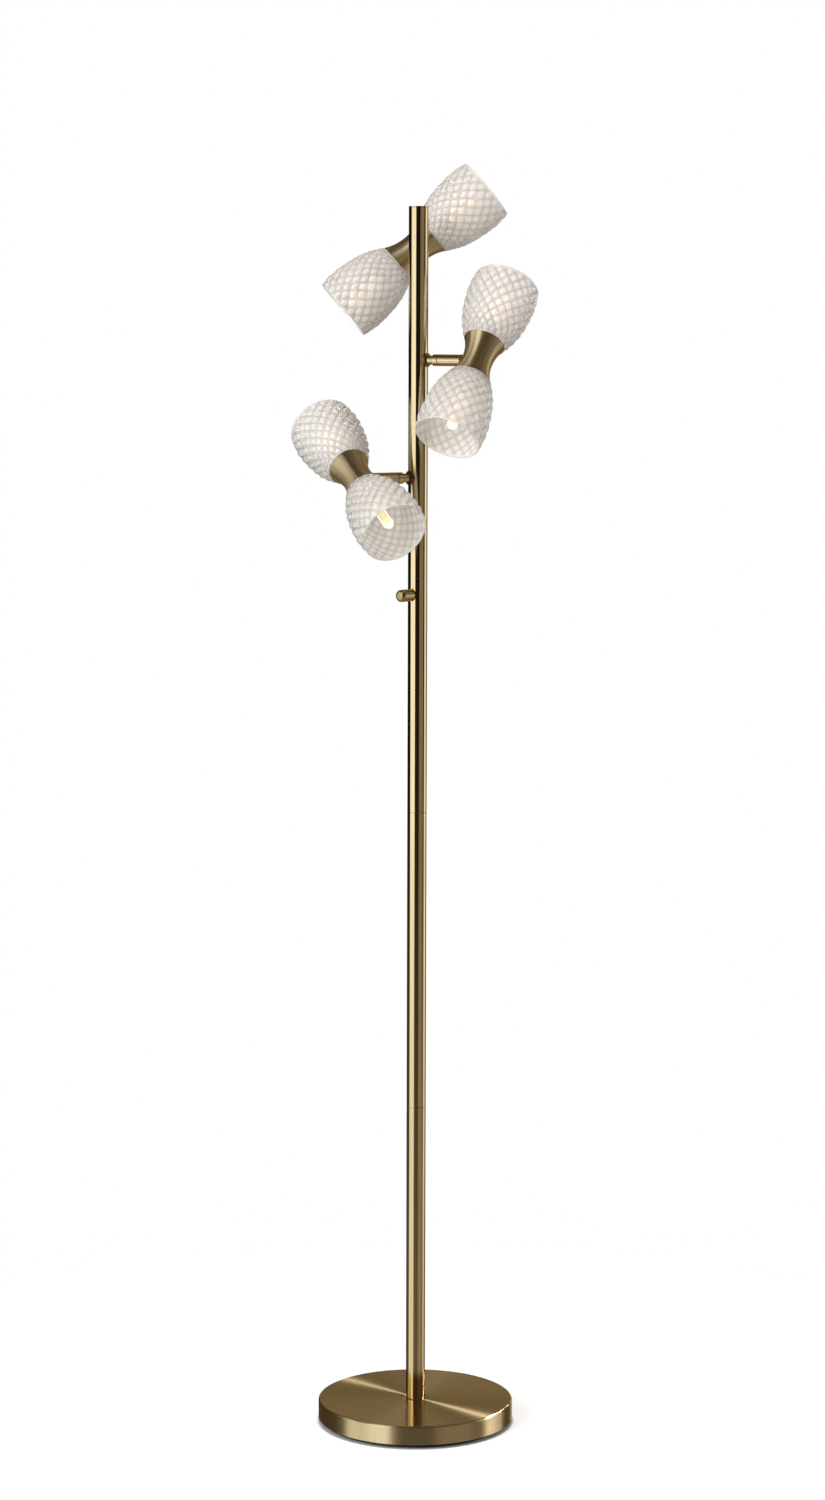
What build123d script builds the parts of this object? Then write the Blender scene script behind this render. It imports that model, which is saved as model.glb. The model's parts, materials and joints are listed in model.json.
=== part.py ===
from build123d import *
import os
from math import cos, hypot, radians, sin, sqrt

os.makedirs("parts", exist_ok=True)

# A tree floor lamp: a weighted round base, a slim brass pole in three lengths, and three
# double-ended lamp heads that swivel on short arms set about 120 degrees apart round the pole.
# Millimetres and degrees. The origin is on the floor under the pole, +Z is up and the
# viewer stands on the -Y side, so azimuth 0 points at the viewer and +90 points along +X.

# ---------------------------------------------------------------- driving dimensions
# Base
base_diameter = 254.0
cover_bottom_height = 5.5  # lower edge of the brass cover above the floor
cover_top_height = 30.0
cover_wall = 1.2
cover_edge_radius = 2.5
dimple_diameter = 33.0  # pressed ring in the cover round the foot of the pole
dimple_depth = 0.8
dimple_slope_width = 2.0
pad_thickness = 3.0
pad_inset = 9.0  # edge of the pad in from the edge of the cover
weight_plate_thickness = 12.5
weight_boss_diameter = 48.0
nut_pocket_diameter = 30.0
nut_pocket_depth = 7.0
cord_channel_width = 9.0

# Cord inlet, in the cover's wall at the back
inlet_height = 13.0
inlet_bore_diameter = 8.0
inlet_neck_wall = 1.2
inlet_flange_width = 2.0
inlet_flange_thickness = 1.2
inlet_pocket_depth = 14.0

# Hollow rod, nut and washer that hold the pole down
rod_diameter = 10.0
rod_bore_diameter = 7.0
rod_bottom_height = 4.5
rod_top_height = 62.0
rod_chamfer = 0.6
base_nut_across_flats = 17.0
base_nut_thickness = 4.0
base_washer_diameter = 24.0
base_washer_thickness = 1.2

# Pole
pole_diameter = 25.0
pole_wall = 1.2
lower_seam_height = 420.0
upper_seam_height = 806.0
pole_top_height = 1576.8
cap_thickness = 1.6
cap_chamfer = 0.4
cap_plug_length = 8.0
coupler_length = 60.0
coupler_wall = 2.8
foot_plug_length = 25.0

# Cable inside the pole
cable_diameter = 6.4
cable_bottom_height = 8.0
cable_above_top_arm = 10.0

# Rotary switch
switch_drop = 490.8  # below the top of the pole
switch_azimuth = -42.0
switch_barrel_diameter = 21.8
switch_barrel_length = 28.0
switch_bushing_diameter = 8.0
switch_nut_diameter = 12.4
switch_nut_thickness = 1.7
switch_shaft_diameter = 5.0
switch_shaft_inner_reach = 3.0  # inner end of the shaft from the pole's axis
switch_shaft_grip = 12.0  # length of shaft inside the knob
knob_diameter = 15.5
knob_length = 21.0
knob_tip_radius = 4.5

# Arms, each with its azimuth, its height and the lean of the head about the arm at rest
top_arm_drop = 52.8  # each drop is measured down from the top of the pole
middle_arm_drop = 192.8
low_arm_drop = 341.8
arms = [
    ("top", 183.5, pole_top_height - top_arm_drop, -50.0),
    ("middle", 59.5, pole_top_height - middle_arm_drop, 38.5),
    ("low", -62.5, pole_top_height - low_arm_drop, -59.0),
]
head_reach = 86.0  # pole axis to head axis

# Swivel, stations measured along the arm from the pole's axis
saddle_diameter = 17.6
saddle_outer_station = 14.0
neck_diameter = 11.5
collar_start_station = 21.8
collar_end_station = 30.3
collar_diameter = 14.8
collar_chamfer = 1.5
shank_diameter = 10.0
shank_end_station = 5.8
arm_nut_diameter = 13.0
arm_nut_thickness = 3.2
wire_bore_diameter = 5.6
spindle_diameter = 9.0
spindle_start_station = 23.5
spindle_end_station = 76.5
stop_screw_diameter = 3.0
stop_screw_station = 27.0
groove_depth = 0.8
friction_washer_diameter = 13.2
friction_washer_thickness = 0.6
arm_tube_end_station = 63.5
arm_tube_chamfer = 0.4
spigot_diameter = 11.0

# Head shell, an hourglass of turned brass
waist_diameter = 39.0
flare_diameter = 53.0
shell_half_length = 28.5
shell_wall = 1.2

# Bracket, lampholders and the parts that clamp the glass, all inside a head
bracket_sheet = 1.5
bracket_width = 14.0
bracket_half_length = 19.5
bracket_flange_reach = 9.0  # past the head's axis, away from the pole
bracket_bore_diameter = 8.0
head_nut_diameter = 13.0
head_nut_thickness = 4.0
holder_boss_diameter = 26.0
holder_boss_length = 3.5
holder_skirt_diameter = 23.4
holder_skirt_end = 42.0  # from the middle of the head
holder_body_diameter = 22.0
holder_face = 56.0  # from the middle of the head
holder_eyelet_length = 2.5
seat_diameter = 44.4
seat_thickness = 1.2
clamp_ring_diameter = 33.0
clamp_ring_length = 5.0

# Glass shade
glass_wall = 3.0
shade_neck_diameter = 44.8  # at the closed end, inside the shell
shade_neck_end_diameter = 48.8  # where the neck leaves the shell
shade_shoulder_diameter = 54.4
shade_shoulder_gap = 0.5  # from the rim of the shell
shade_length = 91.0  # past the rim of the shell
shade_low_diameter = 74.8
shade_mid_diameter = 86.2
shade_full_diameter = 88.8
shade_mouth_diameter = 84.6
shade_low_share = 0.25
shade_mid_share = 0.55
shade_full_share = 0.83

# Capsule bulb
bulb_diameter = 13.6
bulb_tip = 106.5  # from the middle of the head
bulb_base_thickness = 4.8
bulb_base_length = 12.0
bulb_base_depth = 6.0  # how far the base sits in the lampholder
bulb_pin_diameter = 1.2
bulb_pin_spacing = 9.0
bulb_pin_length = 6.5

# Clearances, all on the radius or on one side
slip_clearance = 0.05
running_clearance = 0.06
loose_clearance = 0.3
cover_clearance = 0.4

# ---------------------------------------------------------------- derived sizes
base_radius = base_diameter / 2
cover_seat_height = cover_top_height - dimple_depth
weight_radius = base_radius - cover_wall - cover_clearance
weight_top_height = cover_bottom_height + weight_plate_thickness
pocket_top_height = pad_thickness + nut_pocket_depth
inlet_neck_diameter = inlet_bore_diameter + 2 * inlet_neck_wall
inlet_flange_diameter = inlet_neck_diameter + 2 * inlet_flange_width
# the flat flanges of the inlet bridge the curve of the wall, which falls back by this much
flat_of_wall = base_radius - sqrt(base_radius**2 - (inlet_flange_diameter / 2) ** 2)
pole_radius = pole_diameter / 2
pole_bore_radius = pole_radius - pole_wall
pole_tube_top_height = pole_top_height - cap_thickness
switch_height = pole_top_height - switch_drop
switch_barrel_bottom = switch_height - switch_barrel_length / 2
switch_barrel_top = switch_height + switch_barrel_length / 2
knob_start = pole_radius + switch_nut_thickness + loose_clearance
tube_start_station = collar_end_station + friction_washer_thickness
shell_rim = shell_half_length
shell_near_station = head_reach - waist_diameter / 2  # where an arm meets the shell
saddle_inner_station = sqrt(pole_radius**2 - (saddle_diameter / 2) ** 2) - loose_clearance
shank_radius = shank_diameter / 2
spindle_radius = spindle_diameter / 2
arm_nut_face = sqrt(pole_bore_radius**2 - (arm_nut_diameter / 2) ** 2) - slip_clearance
shell_bore_radius = waist_diameter / 2 - shell_wall
web_outer = sqrt((shell_bore_radius - loose_clearance) ** 2 - (bracket_width / 2) ** 2)
web_inner = web_outer - bracket_sheet
seat_start = bracket_half_length + holder_boss_length
glass_start = seat_start + seat_thickness
glass_floor = glass_start + glass_wall
shoulder_start = shell_rim + shade_shoulder_gap


# ---------------------------------------------------------------- helpers
def write(piece, name):
    """Label a finished piece and write it as its own file."""
    piece.part.label = name
    export_step(piece.part, f"parts/{name}.step")


def ring(plane, start, outer_diameter, inner_diameter=0.0):
    """A disc or ring on the plane, moved along its normal to the start station."""
    with BuildSketch(plane.offset(start)) as sketch:
        Circle(outer_diameter / 2)
        if inner_diameter > 0:
            Circle(inner_diameter / 2, mode=Mode.SUBTRACT)
    return sketch.sketch


def hexagon(plane, start, across_flats, bore_diameter):
    """A hexagonal nut's section on the plane."""
    with BuildSketch(plane.offset(start)) as sketch:
        RegularPolygon(across_flats / 2, 6, major_radius=False)
        Circle(bore_diameter / 2, mode=Mode.SUBTRACT)
    return sketch.sketch


def turning_plane(origin, radial, along):
    """A plane through an axis: local X is the radius and local Y the station along the axis."""
    return Plane(origin=origin, x_dir=radial, z_dir=radial.cross(along))


def outline(plane, points):
    """A closed outline of straight lines on the plane."""
    with BuildSketch(plane) as sketch:
        with BuildLine():
            Polyline(*points, close=True)
        make_face()
    return sketch.sketch


def azimuth_direction(azimuth):
    return Vector(sin(radians(azimuth)), -cos(radians(azimuth)), 0)


def azimuth_tangent(azimuth):
    return Vector(cos(radians(azimuth)), sin(radians(azimuth)), 0)


def axis_plane(origin, along, x_dir):
    """A plane across an axis, whose normal is the axis."""
    return Plane(origin=origin, x_dir=x_dir, z_dir=along)


floor_plane = Plane.XY
up = Vector(0, 0, 1)
inlet_plane = axis_plane((0, base_radius, inlet_height), Vector(0, 1, 0), up)
switch_plane = axis_plane((0, 0, switch_height), azimuth_direction(switch_azimuth), up)


# ---------------------------------------------------------------- base
def make_foot_pad():
    with BuildPart() as foot_pad:
        extrude(
            ring(floor_plane, 0, base_diameter - 2 * pad_inset, nut_pocket_diameter),
            amount=pad_thickness,
        )
    write(foot_pad, "foot_pad")


def make_base_weight():
    boss_top_height = cover_seat_height - cover_wall
    with BuildPart() as base_weight:
        extrude(
            ring(floor_plane, pad_thickness, base_diameter - 2 * pad_inset),
            amount=cover_bottom_height - pad_thickness,
        )
        extrude(
            ring(floor_plane, cover_bottom_height, 2 * weight_radius),
            amount=weight_plate_thickness,
        )
        extrude(
            ring(floor_plane, weight_top_height, weight_boss_diameter),
            amount=boss_top_height - weight_top_height,
        )
        # pocket for the nut, and the channel from it to the back for the cord
        extrude(
            ring(floor_plane, pad_thickness, nut_pocket_diameter),
            amount=nut_pocket_depth,
            mode=Mode.SUBTRACT,
        )
        extrude(
            ring(floor_plane, pocket_top_height, rod_diameter + 2 * slip_clearance),
            amount=cover_top_height,
            mode=Mode.SUBTRACT,
        )
        with BuildSketch(floor_plane.offset(pad_thickness)):
            with Locations((0, base_radius / 2)):
                Rectangle(cord_channel_width, base_radius)
        extrude(amount=nut_pocket_depth, mode=Mode.SUBTRACT)
        inlet_pocket_width = inlet_flange_diameter + 2 * loose_clearance
        with BuildSketch(floor_plane.offset(pad_thickness)):
            with Locations((0, base_radius - inlet_pocket_depth / 2)):
                Rectangle(inlet_pocket_width, inlet_pocket_depth)
        extrude(amount=cover_top_height, mode=Mode.SUBTRACT)
    write(base_weight, "base_weight")


def make_base_cover():
    dimple_radius = dimple_diameter / 2
    dimple_floor_radius = dimple_radius - dimple_slope_width
    hole_radius = rod_diameter / 2 + slip_clearance
    profile = [
        (hole_radius, cover_seat_height),
        (dimple_floor_radius, cover_seat_height),
        (dimple_radius, cover_top_height),
        (base_radius, cover_top_height),
        (base_radius, cover_bottom_height),
        (base_radius - cover_wall, cover_bottom_height),
        (base_radius - cover_wall, cover_top_height - cover_wall),
        (dimple_radius, cover_top_height - cover_wall),
        (dimple_floor_radius, cover_seat_height - cover_wall),
        (hole_radius, cover_seat_height - cover_wall),
    ]
    outer_corner = profile[3]
    inner_corner = profile[6]
    with BuildPart() as base_cover:
        with BuildSketch(turning_plane(Vector(0, 0, 0), Vector(1, 0, 0), up)) as section:
            with BuildLine():
                Polyline(*profile, close=True)
            make_face()
            fillet(section.vertices().sort_by_distance(outer_corner)[0], cover_edge_radius)
            fillet(
                section.vertices().sort_by_distance(inner_corner)[0],
                cover_edge_radius - cover_wall,
            )
        revolve(axis=Axis.Z)
        extrude(
            ring(inlet_plane, 0, inlet_neck_diameter + 2 * slip_clearance),
            amount=-inlet_pocket_depth,
            mode=Mode.SUBTRACT,
        )
    write(base_cover, "base_cover")


def make_cord_inlet():
    # rubber bushing: a neck through the cover's wall with a flange on each side
    wall_inner = -cover_wall - flat_of_wall
    with BuildPart() as cord_inlet:
        extrude(
            ring(inlet_plane, 0, inlet_flange_diameter, inlet_bore_diameter),
            amount=inlet_flange_thickness,
        )
        extrude(
            ring(inlet_plane, wall_inner, inlet_neck_diameter, inlet_bore_diameter),
            amount=-wall_inner,
        )
        extrude(
            ring(inlet_plane, wall_inner, inlet_flange_diameter, inlet_bore_diameter),
            amount=-inlet_flange_thickness,
        )
    write(cord_inlet, "cord_inlet")


def make_base_fixings():
    with BuildPart() as base_rod:
        extrude(
            ring(floor_plane, rod_bottom_height, rod_diameter, rod_bore_diameter),
            amount=rod_top_height - rod_bottom_height,
        )
        outer_ends = base_rod.edges().filter_by(GeomType.CIRCLE).sort_by(SortBy.RADIUS)[-2:]
        chamfer(outer_ends, rod_chamfer)
    write(base_rod, "base_rod")

    washer_bottom = pocket_top_height - base_washer_thickness
    bore_diameter = rod_diameter + 2 * slip_clearance
    nut_bottom = washer_bottom - base_nut_thickness
    with BuildPart() as base_nut_and_washer:
        extrude(
            hexagon(floor_plane, nut_bottom, base_nut_across_flats, bore_diameter),
            amount=base_nut_thickness,
        )
        extrude(
            ring(floor_plane, washer_bottom, base_washer_diameter, bore_diameter),
            amount=base_washer_thickness,
        )
    write(base_nut_and_washer, "base_nut_and_washer")


# ---------------------------------------------------------------- pole
def make_pole():
    sections = [
        ("pole_lower", cover_seat_height, lower_seam_height),
        ("pole_middle", lower_seam_height, upper_seam_height),
        ("pole_upper", upper_seam_height, pole_tube_top_height),
    ]
    for name, bottom, top in sections:
        with BuildPart() as pole_section:
            extrude(
                ring(floor_plane, bottom, pole_diameter, 2 * pole_bore_radius),
                amount=top - bottom,
            )
            if name == "pole_upper":
                for _, azimuth, height, _ in arms:
                    arm_plane = axis_plane((0, 0, height), azimuth_direction(azimuth), up)
                    extrude(
                        ring(arm_plane, 0, shank_diameter + 2 * slip_clearance),
                        amount=pole_diameter,
                        mode=Mode.SUBTRACT,
                    )
                extrude(
                    ring(switch_plane, 0, switch_bushing_diameter + 2 * slip_clearance),
                    amount=pole_diameter,
                    mode=Mode.SUBTRACT,
                )
        write(pole_section, name)

    fitted_diameter = 2 * (pole_bore_radius - slip_clearance)
    with BuildPart() as pole_couplers:
        for seam in (lower_seam_height, upper_seam_height):
            extrude(
                ring(
                    floor_plane,
                    seam - coupler_length / 2,
                    fitted_diameter,
                    fitted_diameter - 2 * coupler_wall,
                ),
                amount=coupler_length,
            )
    write(pole_couplers, "pole_couplers")

    with BuildPart() as foot_plug:
        extrude(
            ring(
                floor_plane,
                cover_seat_height,
                fitted_diameter,
                rod_diameter + 2 * slip_clearance,
            ),
            amount=foot_plug_length,
        )
    write(foot_plug, "foot_plug")

    with BuildPart() as pole_cap:
        extrude(ring(floor_plane, pole_tube_top_height, pole_diameter), amount=cap_thickness)
        chamfer(pole_cap.edges().sort_by(Axis.Z)[-1], cap_chamfer)
        extrude(ring(floor_plane, pole_tube_top_height, fitted_diameter), amount=-cap_plug_length)
    write(pole_cap, "pole_cap")


def make_cable():
    """The cable in the pole, cut where it meets the two ends of the switch."""
    cable_top_height = max(height for _, _, height, _ in arms) + cable_above_top_arm
    spans = [
        (cable_bottom_height, switch_barrel_bottom),
        (switch_barrel_top, cable_top_height),
    ]
    with BuildPart() as pole_cable:
        for bottom, top in spans:
            extrude(ring(floor_plane, bottom, cable_diameter), amount=top - bottom)
    write(pole_cable, "pole_cable")


# ---------------------------------------------------------------- switch
def make_switch():
    shaft_bore = switch_shaft_diameter + 2 * running_clearance
    shaft_tip = knob_start + switch_shaft_grip
    with BuildPart() as switch_body:
        extrude(
            ring(floor_plane, switch_barrel_bottom, switch_barrel_diameter),
            amount=switch_barrel_length,
        )
        extrude(
            ring(switch_plane, 0, switch_bushing_diameter),
            amount=pole_radius + switch_nut_thickness,
        )
        extrude(
            ring(switch_plane, switch_shaft_inner_reach - loose_clearance, shaft_bore),
            amount=knob_start,
            mode=Mode.SUBTRACT,
        )
    write(switch_body, "switch_body")

    with BuildPart() as switch_nut:
        extrude(
            ring(
                switch_plane,
                pole_radius,
                switch_nut_diameter,
                switch_bushing_diameter + 2 * slip_clearance,
            ),
            amount=switch_nut_thickness,
        )
    write(switch_nut, "switch_nut")

    with BuildPart() as switch_shaft:
        extrude(
            ring(switch_plane, switch_shaft_inner_reach, switch_shaft_diameter),
            amount=shaft_tip - switch_shaft_inner_reach,
        )
    write(switch_shaft, "switch_shaft")

    with BuildPart() as switch_knob:
        extrude(ring(switch_plane, knob_start, knob_diameter), amount=knob_length)
        tip_edge = switch_knob.edges().sort_by(Axis((0, 0, 0), switch_plane.z_dir))[-1]
        fillet(tip_edge, knob_tip_radius)
        extrude(
            ring(switch_plane, knob_start, switch_shaft_diameter + 2 * slip_clearance),
            amount=switch_shaft_grip + slip_clearance,
            mode=Mode.SUBTRACT,
        )
    write(switch_knob, "switch_knob")


# ---------------------------------------------------------------- arms, fixed side
def make_arm_fixings():
    """Saddles, nuts, friction washers and stop screws: three alike of each."""
    with BuildPart() as arm_saddles:
        for _, azimuth, height, _ in arms:
            arm_plane = axis_plane((0, 0, height), azimuth_direction(azimuth), up)
            extrude(
                ring(
                    arm_plane,
                    saddle_inner_station,
                    saddle_diameter,
                    shank_diameter + 2 * slip_clearance,
                ),
                amount=saddle_outer_station - saddle_inner_station,
            )
        extrude(
            ring(floor_plane, upper_seam_height, pole_diameter + 2 * slip_clearance),
            amount=pole_top_height - upper_seam_height,
            mode=Mode.SUBTRACT,
        )
    write(arm_saddles, "arm_saddles")

    with BuildPart() as arm_nuts:
        for _, azimuth, height, _ in arms:
            arm_plane = axis_plane((0, 0, height), azimuth_direction(azimuth), up)
            extrude(
                ring(
                    arm_plane,
                    arm_nut_face,
                    arm_nut_diameter,
                    shank_diameter + 2 * slip_clearance,
                ),
                amount=-arm_nut_thickness,
            )
    write(arm_nuts, "arm_nuts")

    with BuildPart() as friction_washers:
        for _, azimuth, height, _ in arms:
            arm_plane = axis_plane((0, 0, height), azimuth_direction(azimuth), up)
            extrude(
                ring(
                    arm_plane,
                    collar_end_station,
                    friction_washer_diameter,
                    spindle_diameter + 2 * loose_clearance,
                ),
                amount=friction_washer_thickness,
            )
    write(friction_washers, "friction_washers")

    screw_tip = spindle_radius - groove_depth + loose_clearance
    screw_length = collar_diameter / 2 - loose_clearance - screw_tip
    with BuildPart() as stop_screws:
        for _, azimuth, height, _ in arms:
            direction = azimuth_direction(azimuth)
            seat = direction * stop_screw_station + up * (height - screw_tip)
            extrude(
                ring(axis_plane(seat, -up, direction), 0, stop_screw_diameter),
                amount=screw_length,
            )
    write(stop_screws, "stop_screws")


def make_swivel_base(name, azimuth, height):
    """The fixed half of a swivel: shank through the pole's wall, neck and collar."""
    direction = azimuth_direction(azimuth)
    origin = Vector(0, 0, height)
    bore = wire_bore_diameter / 2
    socket = spindle_radius + running_clearance
    socket_floor = spindle_start_station - loose_clearance
    collar = collar_diameter / 2
    profile = [
        (bore, shank_end_station),
        (shank_radius, shank_end_station),
        (shank_radius, saddle_outer_station),
        (neck_diameter / 2, saddle_outer_station),
        (neck_diameter / 2, collar_start_station),
        (collar - collar_chamfer, collar_start_station),
        (collar, collar_start_station + collar_chamfer),
        (collar, collar_end_station),
        (socket, collar_end_station),
        (socket, socket_floor),
        (bore, socket_floor),
    ]
    with BuildPart() as swivel_base:
        revolve(
            outline(turning_plane(origin, up, direction), profile),
            axis=Axis(origin, direction),
        )
        screw_plane = axis_plane(direction * stop_screw_station + origin, -up, direction)
        extrude(
            ring(screw_plane, 0, stop_screw_diameter + 2 * slip_clearance),
            amount=collar_diameter,
            mode=Mode.SUBTRACT,
        )
    write(swivel_base, f"swivel_base_{name}")


# ---------------------------------------------------------------- arms, turning side
def make_spindle(name, azimuth, height):
    direction = azimuth_direction(azimuth)
    arm_plane = axis_plane((0, 0, height), direction, up)
    groove_width = stop_screw_diameter + 2 * loose_clearance
    with BuildPart() as spindle:
        extrude(
            ring(arm_plane, spindle_start_station, spindle_diameter, wire_bore_diameter),
            amount=spindle_end_station - spindle_start_station,
        )
        extrude(
            ring(
                arm_plane,
                stop_screw_station - groove_width / 2,
                spindle_diameter + 2 * groove_depth,
                spindle_diameter - 2 * groove_depth,
            ),
            amount=groove_width,
            mode=Mode.SUBTRACT,
        )
    write(spindle, f"spindle_{name}")


def make_arm_tube(name, azimuth, height):
    direction = azimuth_direction(azimuth)
    origin = Vector(0, 0, height)
    bore = spindle_radius + slip_clearance
    outer = collar_diameter / 2
    # the spigot stops just short of the flared surface of the shell
    flare_rise = (flare_diameter - waist_diameter) / 2 * (spigot_diameter / 2 / shell_rim) ** 2
    spigot_end = shell_near_station - flare_rise - slip_clearance
    profile = [
        (bore, tube_start_station),
        (outer - arm_tube_chamfer, tube_start_station),
        (outer, tube_start_station + arm_tube_chamfer),
        (outer, arm_tube_end_station - arm_tube_chamfer),
        (outer - arm_tube_chamfer, arm_tube_end_station),
        (spigot_diameter / 2, arm_tube_end_station),
        (spigot_diameter / 2, spigot_end),
        (bore, spigot_end),
    ]
    with BuildPart() as arm_tube:
        revolve(
            outline(turning_plane(origin, up, direction), profile),
            axis=Axis(origin, direction),
        )
    write(arm_tube, f"arm_tube_{name}")


# ---------------------------------------------------------------- heads
def make_head_shell(name, middle, direction, lean_axis):
    waist = waist_diameter / 2
    flare = flare_diameter / 2
    with BuildPart() as head_shell:
        with BuildSketch(turning_plane(middle, direction, lean_axis)):
            with BuildLine():
                outside = ThreePointArc((flare, -shell_rim), (waist, 0), (flare, shell_rim))
                inside = ThreePointArc(
                    (flare - shell_wall, -shell_rim),
                    (waist - shell_wall, 0),
                    (flare - shell_wall, shell_rim),
                )
                Line(outside @ 0, inside @ 0)
                Line(outside @ 1, inside @ 1)
            make_face()
        revolve(axis=Axis(middle, lean_axis))
        extrude(
            ring(
                axis_plane(middle, -direction, lean_axis),
                0,
                spindle_diameter + 2 * slip_clearance,
            ),
            amount=flare_diameter,
            mode=Mode.SUBTRACT,
        )
    write(head_shell, f"head_shell_{name}")


def make_bracket(name, middle, direction, lean_axis):
    """A strap bent to a C: its web is held on the spindle, its flanges carry the lampholders."""
    end = bracket_half_length
    inner_end = end - bracket_sheet
    strap = [
        (-web_outer, -end),
        (bracket_flange_reach, -end),
        (bracket_flange_reach, -inner_end),
        (-web_inner, -inner_end),
        (-web_inner, inner_end),
        (bracket_flange_reach, inner_end),
        (bracket_flange_reach, end),
        (-web_outer, end),
    ]
    with BuildPart() as bracket:
        extrude(
            outline(turning_plane(middle, direction, lean_axis), strap),
            amount=bracket_width / 2,
            both=True,
        )
        extrude(
            ring(
                axis_plane(middle, -direction, lean_axis),
                0,
                spindle_diameter + 2 * slip_clearance,
            ),
            amount=waist_diameter,
            mode=Mode.SUBTRACT,
        )
        extrude(
            ring(axis_plane(middle, lean_axis, direction), -2 * end, bracket_bore_diameter),
            amount=4 * end,
            mode=Mode.SUBTRACT,
        )
    write(bracket, f"bracket_{name}")

    with BuildPart() as head_nut:
        extrude(
            hexagon(
                axis_plane(middle, -direction, lean_axis),
                web_inner - head_nut_thickness,
                head_nut_diameter,
                spindle_diameter + 2 * slip_clearance,
            ),
            amount=head_nut_thickness,
        )
    write(head_nut, f"head_nut_{name}")


def make_lampholder(name, side, middle, direction, along):
    eyelet = bracket_bore_diameter / 2 - slip_clearance
    wire_bore = wire_bore_diameter / 2
    base_seat = holder_face - bulb_base_depth
    profile = [
        (wire_bore, bracket_half_length - holder_eyelet_length),
        (eyelet, bracket_half_length - holder_eyelet_length),
        (eyelet, bracket_half_length),
        (holder_boss_diameter / 2, bracket_half_length),
        (holder_boss_diameter / 2, seat_start),
        (holder_skirt_diameter / 2, seat_start),
        (holder_skirt_diameter / 2, holder_skirt_end),
        (holder_body_diameter / 2, holder_skirt_end),
        (holder_body_diameter / 2, holder_face),
        (0, holder_face),
        (0, glass_floor),
        (wire_bore, glass_floor),
    ]
    across = axis_plane(middle, along, direction)
    with BuildPart() as lampholder:
        revolve(
            outline(turning_plane(middle, direction, along), profile),
            axis=Axis(middle, along),
        )
        with BuildSketch(across.offset(base_seat)):
            Rectangle(
                bulb_diameter + 2 * loose_clearance,
                bulb_base_thickness + 2 * loose_clearance,
            )
        extrude(amount=holder_face, mode=Mode.SUBTRACT)
        with BuildSketch(across.offset(base_seat - bulb_pin_length - loose_clearance)):
            with GridLocations(bulb_pin_spacing, 0, 2, 1):
                Circle(bulb_pin_diameter / 2 + loose_clearance)
        extrude(amount=holder_face, mode=Mode.SUBTRACT)
    write(lampholder, f"lampholder_{name}_{side}")


def make_bulb(name, side, middle, direction, along):
    base_seat = holder_face - bulb_base_depth
    capsule_start = base_seat + bulb_base_length
    radius = bulb_diameter / 2
    across = axis_plane(middle, along, direction)
    with BuildPart() as bulb:
        with BuildSketch(turning_plane(middle, direction, along)):
            with BuildLine():
                side_line = Line((radius, capsule_start), (radius, bulb_tip - radius))
                dome = RadiusArc(side_line @ 1, (0, bulb_tip), -radius)
                Polyline(dome @ 1, (0, capsule_start), side_line @ 0)
            make_face()
        revolve(axis=Axis(middle, along))
        with BuildSketch(across.offset(base_seat)):
            Rectangle(bulb_diameter, bulb_base_thickness)
        extrude(amount=bulb_base_length)
        with BuildSketch(across.offset(base_seat)):
            with GridLocations(bulb_pin_spacing, 0, 2, 1):
                Circle(bulb_pin_diameter / 2)
        extrude(amount=-bulb_pin_length)
    write(bulb, f"bulb_{name}_{side}")


def wall_inside(points, wall):
    """Points moved by the wall towards the axis, square to the line through their neighbours."""
    moved = []
    for before, here, after in zip(points, points[1:], points[2:]):
        run = after[0] - before[0]
        rise = after[1] - before[1]
        length = hypot(run, rise)
        moved.append((here[0] - wall * rise / length, here[1] + wall * run / length))
    return moved


def make_shade(name, side, middle, direction, along):
    """A bell of pressed glass. Its closed end has a hole and sits on the seat in the shell."""
    mouth_station = shell_rim + shade_length
    stations = [shell_rim + shade_length * share
                for share in (shade_low_share, shade_mid_share, shade_full_share)]
    diameters = [shade_low_diameter, shade_mid_diameter, shade_full_diameter]
    shoulder = (shade_shoulder_diameter / 2, shoulder_start)
    mouth = (shade_mouth_diameter / 2, mouth_station)
    body = [(diameter / 2, station) for diameter, station in zip(diameters, stations)]
    outside_points = [shoulder, *body, mouth]
    inside_points = wall_inside(outside_points, glass_wall)
    inner_mouth = (mouth[0] - glass_wall, mouth_station)
    lip_crown = (mouth[0] - glass_wall / 2, mouth_station + glass_wall / 2)
    inner_floor = (shade_neck_diameter / 2 - glass_wall, glass_floor)
    hole_radius = holder_skirt_diameter / 2 + loose_clearance
    with BuildPart() as shade:
        with BuildSketch(turning_plane(middle, direction, along)):
            with BuildLine():
                outside = Spline(*outside_points)
                lip = ThreePointArc(outside @ 1, lip_crown, inner_mouth)
                inside = Spline(lip @ 1, *reversed(inside_points), inner_floor)
                Polyline(
                    inside @ 1,
                    (hole_radius, glass_floor),
                    (hole_radius, glass_start),
                    (shade_neck_diameter / 2, glass_start),
                    (shade_neck_end_diameter / 2, shoulder_start),
                    outside @ 0,
                )
            make_face()
        revolve(axis=Axis(middle, along))
    write(shade, f"shade_{name}_{side}")


def make_glass_clamps(name, middle, direction, lean_axis):
    """For each end of a head, a seat under the glass and a threaded ring above it."""
    bore_diameter = holder_skirt_diameter + 2 * slip_clearance
    with BuildPart() as glass_clamps:
        for along in (lean_axis, -lean_axis):
            across = axis_plane(middle, along, direction)
            extrude(
                ring(across, seat_start, seat_diameter, bore_diameter),
                amount=seat_thickness,
            )
            extrude(
                ring(across, glass_floor, clamp_ring_diameter, bore_diameter),
                amount=clamp_ring_length,
            )
    write(glass_clamps, f"glass_clamps_{name}")


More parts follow.
